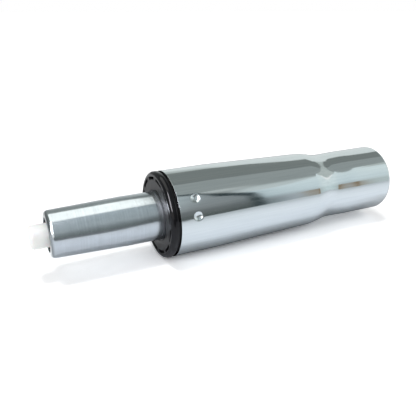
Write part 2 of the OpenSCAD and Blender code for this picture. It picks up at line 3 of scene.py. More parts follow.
import bmesh
import bpy
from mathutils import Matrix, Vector


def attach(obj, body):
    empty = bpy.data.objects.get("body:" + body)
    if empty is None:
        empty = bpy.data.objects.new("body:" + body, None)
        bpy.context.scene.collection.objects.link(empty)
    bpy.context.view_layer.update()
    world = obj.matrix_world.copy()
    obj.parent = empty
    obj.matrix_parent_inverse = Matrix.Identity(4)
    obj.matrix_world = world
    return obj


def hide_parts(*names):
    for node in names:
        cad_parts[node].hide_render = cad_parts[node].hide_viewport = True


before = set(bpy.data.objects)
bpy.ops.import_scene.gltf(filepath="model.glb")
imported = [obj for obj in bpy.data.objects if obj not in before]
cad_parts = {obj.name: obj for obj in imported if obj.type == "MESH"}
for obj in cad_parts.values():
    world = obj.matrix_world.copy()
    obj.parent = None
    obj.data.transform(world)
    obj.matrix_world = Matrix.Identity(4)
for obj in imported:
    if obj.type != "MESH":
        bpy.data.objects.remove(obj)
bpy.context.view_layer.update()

# Outer column
# A drawn steel tube, chromed and polished, with a long taper below its straight mouth, a shoulder, a waist
# and an end part whose edge is rolled in. Punched dimples lock the bush in it.
MM = 0.001
CREASE = math.radians(32)
NOISE_LOW = 0.3
NOISE_HIGH = 0.7
TAPER_RUN = 19.92
COLUMN_R = 25.0
COLUMN_WALL = 1.5
MOUTH_X = -27.5
MOUTH_ROUND = 0.1
MOUTH_LAND = 3.0
TAPER_FOOT_X = 64.0
WAIST_X = 82.5
WAIST_R = 20.85
END_PART_X = 100.0
END_PART_R = 21.25
BASE_END_X = 125.5
END_ROLL = 2.0
END_OPENING_R = 17.0
END_OPENING_ROUND = 0.4
DIMPLE_X = -17.3
DIMPLE_ANGLES = (13.0, 36.0, 193.0, 216.0)
DIMPLE_BALL_R = 3.9
DIMPLE_BALL_AT = 27.9
DIMPLE_EDGE = 0.1
DIMPLE_REACH = 4.6
DIMPLE_TURN = math.radians(16)
FINE_TOP_X = -22.2
FINE_FOOT_X = -12.6
FINE_STEP = 0.3
TURN_STEP = 1.5
FINE_TURN_STEP = 0.5
FINE_TURN_REACH = 9.0


def corner(x, r, radius, start, stop, steps=6):
    """Points of a rounded corner in a half section; 0 degrees points along +X and 90 away from the axis.
    A point just past each end keeps the shading of the face beside it flat."""
    turns = [math.radians(start + (stop - start) * i / steps) for i in range(steps + 1)]
    arc = [(x + radius * math.cos(a), r + radius * math.sin(a)) for a in turns]
    hold = 0.05 if stop > start else -0.05
    before = (arc[0][0] + hold * math.sin(turns[0]), arc[0][1] - hold * math.cos(turns[0]))
    after = (arc[-1][0] - hold * math.sin(turns[-1]), arc[-1][1] + hold * math.cos(turns[-1]))
    return [before] + arc + [after]


def swell(x0, r0, x1, r1, steps):
    """Points of a smooth rise between two stations, level with its neighbours at both ends."""
    shares = [i / steps for i in range(1, steps)]
    return [(x0 + (x1 - x0) * s, r0 + (r1 - r0) * (1 - math.cos(math.pi * s)) / 2) for s in shares]


def straight(x0, r0, x1, r1, steps):
    """Points between two stations of a straight run."""
    shares = [i / steps for i in range(1, steps)]
    return [(x0 + (x1 - x0) * s, r0 + (r1 - r0) * s) for s in shares]


def turn_piece(name, section, angles, shape=None):
    """A solid of revolution about the lift's axis, from the loop of its half section in millimetres.
    Angles are in degrees, from the camera's side upwards. A shape function may press the wall in."""
    made = bmesh.new()
    rings = []
    for x, r in section:
        if r == 0:
            rings.append([made.verts.new((x * MM, 0, 0))] * len(angles))
            continue
        ring = []
        for degrees in angles:
            a = math.radians(degrees)
            radius = shape(x, degrees, r) if shape else r
            ring.append(made.verts.new((x * MM, -radius * math.cos(a) * MM, radius * math.sin(a) * MM)))
        rings.append(ring)
    for i, ring in enumerate(rings):
        after = rings[(i + 1) % len(rings)]
        if ring[0] is ring[1] and after[0] is after[1]:
            continue
        for j in range(len(angles)):
            k = (j + 1) % len(angles)
            corners = [ring[j], ring[k], after[k], after[j]]
            made.faces.new(list(dict.fromkeys(corners)))
    bmesh.ops.recalc_face_normals(made, faces=made.faces)
    return as_object(name, made)


def as_object(name, made):
    """A mesh object from a bmesh, smooth but for its sharper edges."""
    mesh = bpy.data.meshes.new(name)
    made.to_mesh(mesh)
    made.free()
    mesh.shade_smooth()
    mesh.set_sharp_from_angle(angle=CREASE)
    piece = bpy.data.objects.new(name, mesh)
    bpy.context.scene.collection.objects.link(piece)
    return piece


def fit_piece(piece, finish, body, slot, *nodes):
    """Gives a piece its finish, lets it ride on its body, and stands it in for its CAD nodes."""
    piece.data.materials.clear()
    piece.data.materials.append(finish)
    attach(piece, body)
    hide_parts(*nodes)


def node(tree, kind, inputs, **settings):
    """One shader or geometry node; an input is a value or the socket that feeds it."""
    made = tree.nodes.new(kind)
    for key, value in settings.items():
        setattr(made, key, value)
    for key, value in inputs.items():
        if isinstance(value, bpy.types.NodeSocket):
            tree.links.new(value, made.inputs[key])
        else:
            made.inputs[key].default_value = value
    return made


def own_place(tree):
    """The piece's own coordinates."""
    return node(tree, "ShaderNodeTexCoord", {}).outputs["Object"]


def place_of(tree):
    """The piece's own coordinates as three sockets, by the names X, Y and Z."""
    return node(tree, "ShaderNodeSeparateXYZ", {"Vector": own_place(tree)}).outputs


def grain(tree, stretch, detail=3.0, place=(0, 0, 0)):
    """Noise on the piece's own coordinates, with so many features a metre along X, Y and Z."""
    where = own_place(tree)
    scaled = node(tree, "ShaderNodeMapping", {"Vector": where, "Location": place, "Scale": stretch})
    noise = node(tree, "ShaderNodeTexNoise",
                 {"Vector": scaled.outputs["Vector"], "Scale": 1.0, "Detail": detail, "Roughness": 0.6})
    return noise.outputs["Fac"]


def spread(tree, value, low, high, start=NOISE_LOW, stop=NOISE_HIGH):
    """Maps a value from start and stop, which suit noise if they aren't given, to low and high."""
    return node(tree, "ShaderNodeMapRange", {"Value": value, "From Min": start, "From Max": stop,
                                             "To Min": low, "To Max": high}).outputs["Result"]


def fade(tree, place, start, stop, low=0.0, high=1.0):
    """Runs from low to high between two places in millimetres."""
    return spread(tree, place, low, high, start * MM, stop * MM)


def tint(tree, value, dark, light):
    """A colour between two, by a noise value."""
    ramp = node(tree, "ShaderNodeValToRGB", {"Fac": value})
    for element, position, colour in zip(ramp.color_ramp.elements, (NOISE_LOW, NOISE_HIGH), (dark, light)):
        element.position = position
        element.color = (*colour, 1)
    return ramp.outputs["Color"]


def mix(tree, share, first, second, kind="MIX"):
    """A colour mixed from two, each a value or a socket."""
    mixed = node(tree, "ShaderNodeMix", {0: share, 6: first, 7: second}, data_type="RGBA", blend_type=kind)
    return mixed.outputs[2]


def darkened(tree, colour, by):
    """A colour times another colour or a number."""
    return mix(tree, 1.0, colour, by, "MULTIPLY")


def relief(tree, height, depth, strength, under=None):
    """Bump from a height between 0 and 1, over a depth in metres."""
    inputs = {"Height": height, "Distance": depth, "Strength": strength}
    if under:
        inputs["Normal"] = under
    return node(tree, "ShaderNodeBump", inputs).outputs["Normal"]


def new_finish(name, **constants):
    """A material with its Principled shader, whose constants are set on its own sockets."""
    finish = bpy.data.materials.new(name)
    finish.use_nodes = True
    shader = finish.node_tree.nodes["Principled BSDF"]
    for key, value in constants.items():
        shader.inputs[key.replace("_", " ")].default_value = value
    return finish, finish.node_tree, shader


def feed(tree, shader, colour, roughness, normal):
    """Links what varies over the surface to the shader."""
    tree.links.new(colour, shader.inputs["Base Color"])
    tree.links.new(roughness, shader.inputs["Roughness"])
    tree.links.new(normal, shader.inputs["Normal"])


def chrome_plate():
    """Polished plate with faint streaks along the column. Painted shade blackens the mouth's rounded edge.
    """
    finish, tree, shader = new_finish("chrome_plate", Metallic=1.0)
    streaks = grain(tree, (18, 900, 900), 4.0)
    waves = grain(tree, (30, 120, 120), 1.0, (3, 0, 0))
    plate = tint(tree, streaks, (0.69, 0.745, 0.75), (0.76, 0.81, 0.81))
    # Painted shade: the mouth's rounded edge is darkened nearly to black, which dims its highlight.
    mouth_painted_shade = fade(tree, place_of(tree)["X"], MOUTH_X, MOUTH_X + MOUTH_ROUND, 0.01)
    low = relief(tree, waves, 0.00003, 0.35)
    feed(tree, shader, darkened(tree, plate, mouth_painted_shade), spread(tree, streaks, 0.07, 0.105),
         relief(tree, streaks, 0.000004, 0.5, low))
    return finish


def column_section():
    """The column's half section, with closer stations where the dimples are pressed in."""
    foot_r = COLUMN_R - TAPER_FOOT_X / TAPER_RUN / 2
    w = COLUMN_WALL
    end_flat_x = BASE_END_X - w
    fine_steps = round((FINE_FOOT_X - FINE_TOP_X) / FINE_STEP)
    outside = (
        corner(BASE_END_X - END_ROLL, END_PART_R - END_ROLL, END_ROLL, 0, 90, 10)
        + straight(BASE_END_X - END_ROLL, END_PART_R, END_PART_X, END_PART_R, 4)
        + [(END_PART_X, END_PART_R)]
        + swell(END_PART_X, END_PART_R, WAIST_X, WAIST_R, 14)
        + [(WAIST_X, WAIST_R)]
        + swell(WAIST_X, WAIST_R, TAPER_FOOT_X, foot_r, 28)
        + [(TAPER_FOOT_X, foot_r)]
        + straight(TAPER_FOOT_X, foot_r, 0, COLUMN_R, 10)
        + [(0, COLUMN_R)]
        + straight(0, COLUMN_R, FINE_FOOT_X, COLUMN_R, 3)
        + [(FINE_FOOT_X - FINE_STEP * i, COLUMN_R) for i in range(fine_steps + 1)]
        + [(MOUTH_X + MOUTH_LAND, COLUMN_R)]
        + corner(MOUTH_X + MOUTH_ROUND, COLUMN_R - MOUTH_ROUND, MOUTH_ROUND, 90, 180, 5)
    )
    opening_r = END_OPENING_R + END_OPENING_ROUND
    inside = (
        [(MOUTH_X, COLUMN_R - w), (FINE_TOP_X, COLUMN_R - w)]
        + [(FINE_TOP_X + 2 * FINE_STEP * i, COLUMN_R - w) for i in range(1, fine_steps // 2 + 1)]
        + [(0, COLUMN_R - w), (TAPER_FOOT_X, foot_r - w)]
        + swell(TAPER_FOOT_X, foot_r - w, WAIST_X, WAIST_R - w, 10)
        + [(WAIST_X, WAIST_R - w), (END_PART_X, END_PART_R - w), (end_flat_x, END_PART_R - w)]
        + corner(end_flat_x + END_OPENING_ROUND, opening_r, END_OPENING_ROUND, 180, 270, 4)
        + corner(BASE_END_X - END_OPENING_ROUND, opening_r, END_OPENING_ROUND, 270, 360, 4)
    )
    return outside + inside


def punched(x, degrees, r):
    """Radius of the column's wall, pressed in at the dimples with a soft edge as a punch leaves it."""
    if abs(x - DIMPLE_X) > DIMPLE_REACH:
        return r
    ball = DIMPLE_BALL_R + (COLUMN_WALL if r < COLUMN_R - COLUMN_WALL / 2 else 0.0)
    for centre in DIMPLE_ANGLES:
        a = math.radians((degrees - centre + 180) % 360 - 180)
        if abs(a) > DIMPLE_TURN:
            continue
        inside = ball ** 2 - (DIMPLE_BALL_AT * math.sin(a)) ** 2 - (x - DIMPLE_X) ** 2
        half = math.sqrt(inside) if inside > 0 else -math.sqrt(-inside)
        gap = DIMPLE_BALL_AT * math.cos(a) - half - r
        r = r + (gap - math.sqrt(gap ** 2 + DIMPLE_EDGE ** 2)) / 2
    return r


def column_angles():
    """Stations round the column in degrees, closer together at the dimples."""
    angles = []
    degrees = 0.0
    while degrees < 359.99:
        angles.append(degrees)
        near = min(abs((degrees + 0.1 - c + 180) % 360 - 180) for c in DIMPLE_ANGLES)
        degrees += FINE_TURN_STEP if near < FINE_TURN_REACH else TURN_STEP
    return angles


column = turn_piece("column_tube", column_section(), column_angles(), punched)
fit_piece(column, chrome_plate(), "column", "chrome_plate", "outer_column")

# Base plate and its fixings
# A plate pressed from zinc plated sheet sits in the rolled end, raised in the middle. The rod's foot comes
# through it, held by a washer and an E clip, which is stamped from spring steel and pushed in sideways.


def plated_steel(name, light, dark, rough, spin=False):
    """Plated or bare metal: a cloudy surface, with turning marks where the piece was turned."""
    finish, tree, shader = new_finish(name, Metallic=1.0)
    clouds = grain(tree, (160, 160, 160), 4.0)
    marks = grain(tree, (9000, 60, 60) if spin else (2200, 2200, 2200), 2.0, (1, 2, 3))
    feed(tree, shader, tint(tree, clouds, dark, light), spread(tree, clouds, rough * 0.8, rough * 1.25),
         relief(tree, marks, 0.00001, 0.35))
    return finish


def dress(finish, *names):
    """CAD nodes whose shape is right get their finish."""
    for name in names:
        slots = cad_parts[name].data.materials
        slots.clear()
        slots.append(finish)


dress(plated_steel("zinc_steel", (0.66, 0.68, 0.70), (0.54, 0.56, 0.58), 0.32), "base_plate", "cup_washer",
      "clip_washer", "piston_washer", "piston_nut", "support_washer", "valve_pin")
dress(plated_steel("spring_steel", (0.17, 0.17, 0.18), (0.09, 0.09, 0.10), 0.38), "retaining_clip")

# Thrust bearing
# Two ground races with ten balls in a brass cage, so that the seat turns on the base plate. The port sleeve
# of the valve is of the same brass.
dress(plated_steel("bearing_steel", (0.62, 0.63, 0.65), (0.52, 0.53, 0.55), 0.16, True),
      "lower_race", "upper_race", "bearing_balls")
dress(plated_steel("brass", (0.80, 0.61, 0.30), (0.70, 0.50, 0.22), 0.28, True), "ball_cage", "port_sleeve")

# Rod, bumper and piston
# The hard chromed rod stands on the bearing and carries the piston. The rubber bumper round its foot takes
# the lowered tube. The piston and its guides are of natural plastic, the piston's ring of filled plastic.
dress(plated_steel("rod_chrome", (0.74, 0.75, 0.77), (0.68, 0.69, 0.71), 0.10, True), "piston_rod")


def moulded(name, light, dark, rough, pits=1800, depth=0.00002):
    """Moulded plastic or rubber, with a faint texture from its mould."""
    finish, tree, shader = new_finish(name)
    clouds = grain(tree, (220, 220, 220), 3.0)
    skin = grain(tree, (pits, pits, pits), 2.0, (2, 2, 2))
    feed(tree, shader, tint(tree, clouds, dark, light), spread(tree, skin, rough * 0.85, rough * 1.15),
         relief(tree, skin, depth, 0.5))
    return finish


dress(moulded("black_rubber", (0.035, 0.035, 0.037), (0.022, 0.022, 0.024), 0.62, 1200, 0.00006),
      "rubber_bumper", "rod_seal", "body_seals", "pin_seals")
dress(moulded("natural_plastic", (0.74, 0.70, 0.60), (0.68, 0.64, 0.54), 0.42),
      "piston", "rod_guide", "stroke_spacer")
dress(moulded("dark_ring_plastic", (0.10, 0.09, 0.08), (0.06, 0.055, 0.05), 0.45), "piston_ring")

# Pressure tube
# A steel tube, ground to size round its outside, with a seat taper at its top. Both of its ends are rolled
# in, over the valve body at the top and over the rod guide at the foot.
TUBE_R = 14.0
TUBE_WALL = 1.75
TUBE_TOP_X = -93.5
TUBE_FOOT_X = 95.16
TUBE_EDGE = 0.35
SEAT_FOOT_X = -51.5
LIP_ROLL = 2.4
LIP_BORE_R = 9.296
LIP_SHADE_X = (-93.2, -91.8)
GREASE_X = (-38.0, -33.0)
FOOT_ROLL = 2.0
FOOT_BORE_R = 9.5


def maths(tree, operation, first, second):
    """A sum on two values or sockets."""
    return node(tree, "ShaderNodeMath", {0: first, 1: second}, operation=operation).outputs["Value"]


def ground_steel():
    """Grinding marks round the tube, over a slight haze. Painted shade darkens the lip's front, and a film
    of grease dulls the tube where it comes out of the bush."""
    finish, tree, shader = new_finish("ground_steel", Metallic=1.0)
    marks = grain(tree, (3600, 8, 8), 3.0)
    lines = grain(tree, (900, 6, 6), 4.0, (2, 0, 0))
    bands = grain(tree, (420, 12, 12), 3.0, (5, 0, 0))
    haze = grain(tree, (90, 260, 260), 3.0, (9, 3, 0))
    steel = tint(tree, haze, (0.58, 0.63, 0.655), (0.65, 0.70, 0.725))
    worn = tint(tree, lines, (0.86, 0.86, 0.86), (1.0, 1.0, 1.0))
    along = place_of(tree)["X"]
    # Painted shade: the lip's rounded front is darkened, which dims its highlight.
    lip = fade(tree, along, *LIP_SHADE_X, 0.45)
    film = fade(tree, along, *GREASE_X, 0.0, 0.13)
    low = relief(tree, bands, 0.00001, 0.5)
    feed(tree, shader, darkened(tree, darkened(tree, steel, worn), lip),
         maths(tree, "ADD", spread(tree, marks, 0.13, 0.19), film),
         relief(tree, marks, 0.000018, 0.8, low))
    return finish


def even_angles(step):
    """Stations round a piece, so many degrees apart."""
    return [i * step for i in range(round(360 / step))]


def tube_section():
    """The tube's half section, with its lip at the top and its rolled foot."""
    tip_r = TUBE_R - (SEAT_FOOT_X - TUBE_TOP_X) / TAPER_RUN / 2
    under_lip_x = TUBE_TOP_X + TUBE_WALL
    foot_flat_x = TUBE_FOOT_X - TUBE_WALL
    bore_r = TUBE_R - TUBE_WALL
    outside = (
        corner(TUBE_FOOT_X - FOOT_ROLL, TUBE_R - FOOT_ROLL, FOOT_ROLL, 0, 90, 8)
        + straight(TUBE_FOOT_X - FOOT_ROLL, TUBE_R, SEAT_FOOT_X, TUBE_R, 12)
        + [(SEAT_FOOT_X, TUBE_R)]
        + straight(SEAT_FOOT_X, TUBE_R, TUBE_TOP_X + LIP_ROLL, tip_r, 8)
        + corner(TUBE_TOP_X + LIP_ROLL, tip_r - LIP_ROLL, LIP_ROLL, 90, 180, 14)
    )
    inside = (
        corner(TUBE_TOP_X + TUBE_EDGE, LIP_BORE_R + TUBE_EDGE, TUBE_EDGE, 180, 270, 5)
        + [(under_lip_x, LIP_BORE_R), (under_lip_x, tip_r - TUBE_WALL), (SEAT_FOOT_X, bore_r),
           (foot_flat_x, bore_r), (foot_flat_x, FOOT_BORE_R)]
        + corner(TUBE_FOOT_X - TUBE_EDGE, FOOT_BORE_R + TUBE_EDGE, TUBE_EDGE, 270, 360, 4)
    )
    return outside + inside


tube = turn_piece("pressure_tube_ground", tube_section(), even_angles(1.5))
fit_piece(tube, ground_steel(), "cylinder", "ground_steel", "pressure_tube")
dress(plated_steel("drawn_steel", (0.50, 0.51, 0.52), (0.40, 0.41, 0.42), 0.30), "inner_tube")

# Valve
# A turned aluminium plug under the tube's lip, recessed for the button. The seals round it and round its pin
# have their rubber already.
# Painted shade: the plug is seen only through the gap round the button, and its colour is kept far darker
# than aluminium's.
dress(plated_steel("turned_aluminium", (0.36, 0.36, 0.36), (0.28, 0.28, 0.28), 0.30, True), "valve_body")

# Release button
# A solid cap moulded from white plastic, pressed onto the valve pin. Its tip is rounded, and it stands out
# of the tube's lip.
BUTTON_R = 6.5
BUTTON_TIP_X = -102.5
BUTTON_ROOT_X = -86.5
BUTTON_ROUND = 2.0
BUTTON_EDGE = 0.5
PIN_HOLE_R = 2.05
PIN_HOLE_END_X = -96.45


def white_moulding():
    """Milky white plastic, satin, with a faint texture from its mould."""
    finish, tree, shader = new_finish("white_moulding", Subsurface_Weight=0.12, Subsurface_Scale=0.002)
    clouds = grain(tree, (260, 260, 260), 3.0)
    skin = grain(tree, (1500, 1500, 1500), 2.0, (2, 5, 2))
    white = tint(tree, clouds, (0.80, 0.81, 0.80), (0.87, 0.88, 0.875))
    feed(tree, shader, white, spread(tree, skin, 0.34, 0.44), relief(tree, skin, 0.00002, 0.4))
    return finish


button_section = (
    [(BUTTON_TIP_X, 0)]
    + straight(BUTTON_TIP_X, 0, BUTTON_TIP_X, BUTTON_R - BUTTON_ROUND, 4)
    + corner(BUTTON_TIP_X + BUTTON_ROUND, BUTTON_R - BUTTON_ROUND, BUTTON_ROUND, 180, 90, 12)
    + straight(BUTTON_TIP_X + BUTTON_ROUND, BUTTON_R, BUTTON_ROOT_X - BUTTON_EDGE, BUTTON_R, 5)
    + corner(BUTTON_ROOT_X - BUTTON_EDGE, BUTTON_R - BUTTON_EDGE, BUTTON_EDGE, 90, 0, 4)
    + [(BUTTON_ROOT_X, PIN_HOLE_R), (PIN_HOLE_END_X, PIN_HOLE_R), (PIN_HOLE_END_X, 0)]
)
cap = turn_piece("button_cap", button_section, even_angles(3.0))
fit_piece(cap, white_moulding(), "button", "white_moulding", "release_button")

# Guide bush
# Moulded in one from black plastic: a glossy bead over the column's mouth, a satin web with twelve curved
# slots, a bevel, a long sleeve round the tube, two rings that fit the column, and ribs between them.
BUSH_SECTORS = 12
SECTOR = 360 / BUSH_SECTORS
SLOT_TURN = 17.0
SLOT_HALF = 10.96
SLOT_OUT_R = 22.3
SLOT_IN_R = 20.6
SLOT_STEPS = 8
LAND_STEPS = 3
SLEEVE_BORE_R = 14.05
SLEEVE_R = 16.25
SLEEVE_FOOT_X = 30.5
FRONT_X = -33.0
WEB_X = -32.7
WEB_BACK_X = -30.7
BEVEL_R = 15.3
BEVEL_DEPTH = 0.9
GROOVE_R = 23.9
GROOVE_X = MOUTH_X - 1.4
BEAD_R = 25.1
BEAD_ROUND = 2.2
BEAD_SHADE_R = (22.2, 23.0)
SHELL_R = 23.45
SHELL_IN_R = 22.45
SHELL_FOOT_X = -23.5
LOWER_RING_TOP_X = -5
RIB_HALF = 0.8
RIB_R = 22.9
RIB_ROOT_R = 15.2
RIB_TOE_R = 17.3
RIB_TOP_X = -30.6
RIB_GAP = 0.3
LOCK_R = 22.2
LOCK_TOP_X = -21.3
LOCK_FOOT_X = -13.3


def black_moulding():
    """Glossy on the bead and satin on the web, by the place on the bush. Past the web's front face,
    in the slots and round the back, painted shade makes it as black as the bead.
    """
    finish, tree, shader = new_finish("black_moulding", Specular_IOR_Level=0.3)
    clouds = grain(tree, (300, 300, 300), 3.0)
    skin = grain(tree, (2600, 2600, 2600), 2.0, (4, 2, 2))
    place = place_of(tree)
    flat = node(tree, "ShaderNodeCombineXYZ", {"Y": place["Y"], "Z": place["Z"]}).outputs["Vector"]
    reach = node(tree, "ShaderNodeVectorMath", {0: flat}, operation="LENGTH").outputs["Value"]
    bead = fade(tree, reach, *BEAD_SHADE_R)
    # Painted shade: everything past the web's front face, such as the walls of the slots, is made as black
    # as the bead.
    painted_shade_past_web = fade(tree, place["X"], WEB_X + 0.05, WEB_X + 0.1)
    satin = tint(tree, clouds, (0.013, 0.013, 0.014), (0.020, 0.020, 0.021))
    black = mix(tree, maths(tree, "MAXIMUM", bead, painted_shade_past_web), satin, (0.004, 0.004, 0.005, 1))
    gloss = spread(tree, bead, 0.48, 0.08, 0.0, 1.0)
    feed(tree, shader, black, maths(tree, "MULTIPLY", gloss, spread(tree, skin, 0.9, 1.1)),
         relief(tree, skin, 0.00001, 0.4))
    return finish


def bush_sector():
    """One twelfth of the bush, with a slot in the middle of its web. Its ends are open, to join the next."""
    loop = (
        [(SLEEVE_FOOT_X, SLEEVE_BORE_R), (SLEEVE_FOOT_X, SLEEVE_R), (WEB_BACK_X, SLEEVE_R),
         (WEB_BACK_X, SLOT_IN_R), (WEB_BACK_X, SLOT_OUT_R), (WEB_BACK_X, SHELL_IN_R)]
        + [(SHELL_FOOT_X, SHELL_IN_R), (SHELL_FOOT_X, SHELL_R), (MOUTH_X, SHELL_R)]
        + [(MOUTH_X, GROOVE_R), (GROOVE_X, GROOVE_R)]
        + [(GROOVE_X, BEAD_R - 0.4), (GROOVE_X - 0.25, BEAD_R - 0.15), (GROOVE_X - 0.6, BEAD_R)]
        + corner(FRONT_X + BEAD_ROUND, BEAD_R - BEAD_ROUND, BEAD_ROUND, 90, 180, 12)
        + [(FRONT_X, SHELL_IN_R + 0.15), (FRONT_X + 0.1, SHELL_IN_R), (WEB_X, SHELL_IN_R - 0.08),
           (WEB_X, SLOT_OUT_R), (WEB_X, SLOT_IN_R), (WEB_X, BEVEL_R), (WEB_X + BEVEL_DEPTH, SLEEVE_BORE_R)]
    )
    turns = [-SECTOR / 2 + (SECTOR / 2 - SLOT_HALF) * i / LAND_STEPS for i in range(LAND_STEPS)]
    turns += [-SLOT_HALF + 2 * SLOT_HALF * i / SLOT_STEPS for i in range(SLOT_STEPS)]
    turns += [SLOT_HALF + (SECTOR / 2 - SLOT_HALF) * i / LAND_STEPS for i in range(LAND_STEPS + 1)]
    made = bmesh.new()
    rings = []
    for degrees in turns:
        a = math.radians(degrees)
        points = [(x * MM, -r * math.cos(a) * MM, r * math.sin(a) * MM) for x, r in loop]
        rings.append([made.verts.new(p) for p in points])
    back_in, back_out = loop.index((WEB_BACK_X, SLOT_IN_R)), loop.index((WEB_BACK_X, SLOT_OUT_R))
    front_out, front_in = loop.index((WEB_X, SLOT_OUT_R)), loop.index((WEB_X, SLOT_IN_R))
    for j in range(len(rings) - 1):
        here, there = rings[j], rings[j + 1]
        open_slot = LAND_STEPS <= j < LAND_STEPS + SLOT_STEPS
        for i in range(len(loop)):
            k = (i + 1) % len(loop)
            if open_slot and i in (back_in, front_out):
                continue
            made.faces.new([here[i], there[i], there[k], here[k]])
        if open_slot:
            made.faces.new([here[back_in], there[back_in], there[front_in], here[front_in]])
            made.faces.new([here[back_out], here[front_out], there[front_out], there[back_out]])
    for j in (LAND_STEPS, LAND_STEPS + SLOT_STEPS):
        end = [rings[j][i] for i in (back_in, back_out, front_out, front_in)]
        made.faces.new(end if j == LAND_STEPS else end[::-1])
    bmesh.ops.recalc_face_normals(made, faces=made.faces)
    return as_object("bush_sector", made)


def bush_rib():
    """A flat rib from the sleeve out to the column's bore, between two slots and notched at the dimples."""
    toe_x = SLEEVE_FOOT_X - 2
    slope_x = toe_x - 6
    bore_r = COLUMN_R - COLUMN_WALL - RIB_GAP
    edge = [(toe_x, RIB_ROOT_R), (toe_x, RIB_TOE_R), (slope_x, bore_r - slope_x / TAPER_RUN / 2),
            (0, bore_r), (-0.01, RIB_R), (LOCK_FOOT_X, RIB_R), (LOCK_FOOT_X, LOCK_R), (LOCK_TOP_X, LOCK_R),
            (LOCK_TOP_X, RIB_R), (RIB_TOP_X, RIB_R), (RIB_TOP_X, RIB_ROOT_R)]
    made = bmesh.new()
    sides = [[made.verts.new((x * MM, -r * MM, s * RIB_HALF * MM)) for x, r in edge] for s in (-1, 1)]
    made.faces.new(sides[0])
    made.faces.new(sides[1][::-1])
    for i in range(len(edge)):
        k = (i + 1) % len(edge)
        made.faces.new([sides[0][i], sides[1][i], sides[1][k], sides[0][k]])
    bmesh.ops.recalc_face_normals(made, faces=made.faces)
    return as_object("bush_rib", made)


def lower_ring():
    """The second ring that fits the column, among the ribs."""
    section = [(0, SHELL_IN_R), (0, SHELL_R), (LOWER_RING_TOP_X, SHELL_R), (LOWER_RING_TOP_X, SHELL_IN_R)]
    return turn_piece("bush_lower_ring", section, even_angles(2.5))


def repeat_tree(finish):
    """A tree that repeats its geometry and a rib round the X axis, joined with a ring and in one finish."""
    tree = bpy.data.node_groups.new("bush_round", "GeometryNodeTree")
    for label, kind in (("Geometry", "Geometry"), ("Rib", "Object"), ("Ring", "Object"), ("Count", "Int"),
                        ("First turn", "Float"), ("Rib turn", "Float")):
        tree.interface.new_socket(label, in_out="INPUT", socket_type="NodeSocket" + kind)
    tree.interface.new_socket("Geometry", in_out="OUTPUT", socket_type="NodeSocketGeometry")
    given = node(tree, "NodeGroupInput", {}).outputs
    step = maths(tree, "DIVIDE", 2 * math.pi, given["Count"])
    turn = maths(tree, "MULTIPLY", node(tree, "GeometryNodeInputIndex", {}).outputs["Index"], step)

    def round_axis(geometry, first):
        """Copies of a geometry, evenly round the axis from a first turn."""
        spin = node(tree, "ShaderNodeCombineXYZ", {"X": maths(tree, "ADD", turn, first)})
        line = node(tree, "GeometryNodeMeshLine", {"Count": given["Count"], "Offset": (0, 0, 0)})
        return node(tree, "GeometryNodeInstanceOnPoints",
                    {"Points": line.outputs["Mesh"], "Instance": geometry,
                     "Rotation": spin.outputs["Vector"]}).outputs["Instances"]

    def geometry_of(kind, **inputs):
        """What one geometry node gives out."""
        return node(tree, "GeometryNode" + kind, inputs).outputs["Geometry"]

    rib = geometry_of("ObjectInfo", Object=given["Rib"])
    ring = geometry_of("ObjectInfo", Object=given["Ring"])
    sectors = geometry_of("RealizeInstances", Geometry=round_axis(given["Geometry"], given["First turn"]))
    welded = geometry_of("MergeByDistance", Geometry=sectors, Distance=0.000002)
    joined = node(tree, "GeometryNodeJoinGeometry", {})
    for part in (welded, round_axis(rib, given["Rib turn"]), ring):
        tree.links.new(part, joined.inputs["Geometry"])
    solid = geometry_of("RealizeInstances", Geometry=joined.outputs["Geometry"])
    coated = geometry_of("SetMaterial", Geometry=solid, Material=finish)
    node(tree, "NodeGroupOutput", {"Geometry": coated})
    return tree


def drive(piece, tree, **inputs):
    """Runs a tree on a piece and gives back the plain mesh that it makes."""
    modifier = piece.modifiers.new("round", "NODES")
    modifier.node_group = tree
    for item in tree.interface.items_tree:
        key = item.name.replace(" ", "_")
        if item.in_out == "INPUT" and key in inputs:
            modifier[item.identifier] = inputs[key]
    shown = piece.evaluated_get(bpy.context.evaluated_depsgraph_get())
    return bpy.data.meshes.new_from_object(shown)


BLACK = black_moulding()
sector = bush_sector()
rib = bush_rib()
ring = lower_ring()
bush_mesh = drive(sector, repeat_tree(BLACK), Rib=rib, Ring=ring, Count=BUSH_SECTORS,
                  First_turn=math.radians(-SLOT_TURN), Rib_turn=math.radians(-SLOT_TURN - SECTOR / 2))
for part in (sector, rib, ring):
    bpy.data.objects.remove(part)
bush_mesh.shade_smooth()
bush_mesh.set_sharp_from_angle(angle=CREASE)
bush = bpy.data.objects.new("guide_bush_moulding", bush_mesh)
bpy.context.scene.collection.objects.link(bush)
fit_piece(bush, BLACK, "column", "black_moulding", "guide_bush")

# Table and sweep
# The part lies on a white sweep that runs on to the horizon. The camera sees it white but for the part's
# shadow, which painted light makes paler, and reflections see painted light and shade on it.
FLOOR_Z = -25.12
FAR = 30000
TOUCH_REACH = 0.019
SHADOW_REACH = 0.07


def empty_finish(name):
    """A material without nodes."""
    finish = bpy.data.materials.new(name)
    finish.use_nodes = True
    finish.node_tree.nodes.clear()
    return finish, finish.node_tree


def ramp_along(tree, place, stops):
    """A colour from stops of place in millimetres and colour."""
    first, last = stops[0][0], stops[-1][0]
    ramp = node(tree, "ShaderNodeValToRGB", {"Fac": fade(tree, place, first, last)})
    elements = ramp.color_ramp.elements
    while len(elements) < len(stops):
        elements.new(0.5)
    for element, (at, colour) in zip(elements, stops):
        element.position = (at - first) / (last - first)
        element.color = (*colour, 1)
    return ramp.outputs["Color"]


def openness(tree, distance, shut, clear):
    """0 where something is close above the sweep, 1 where it is open."""
    hollow = node(tree, "ShaderNodeAmbientOcclusion", {"Distance": distance}, samples=8)
    return spread(tree, hollow.outputs["AO"], 0.0, 1.0, shut, clear)


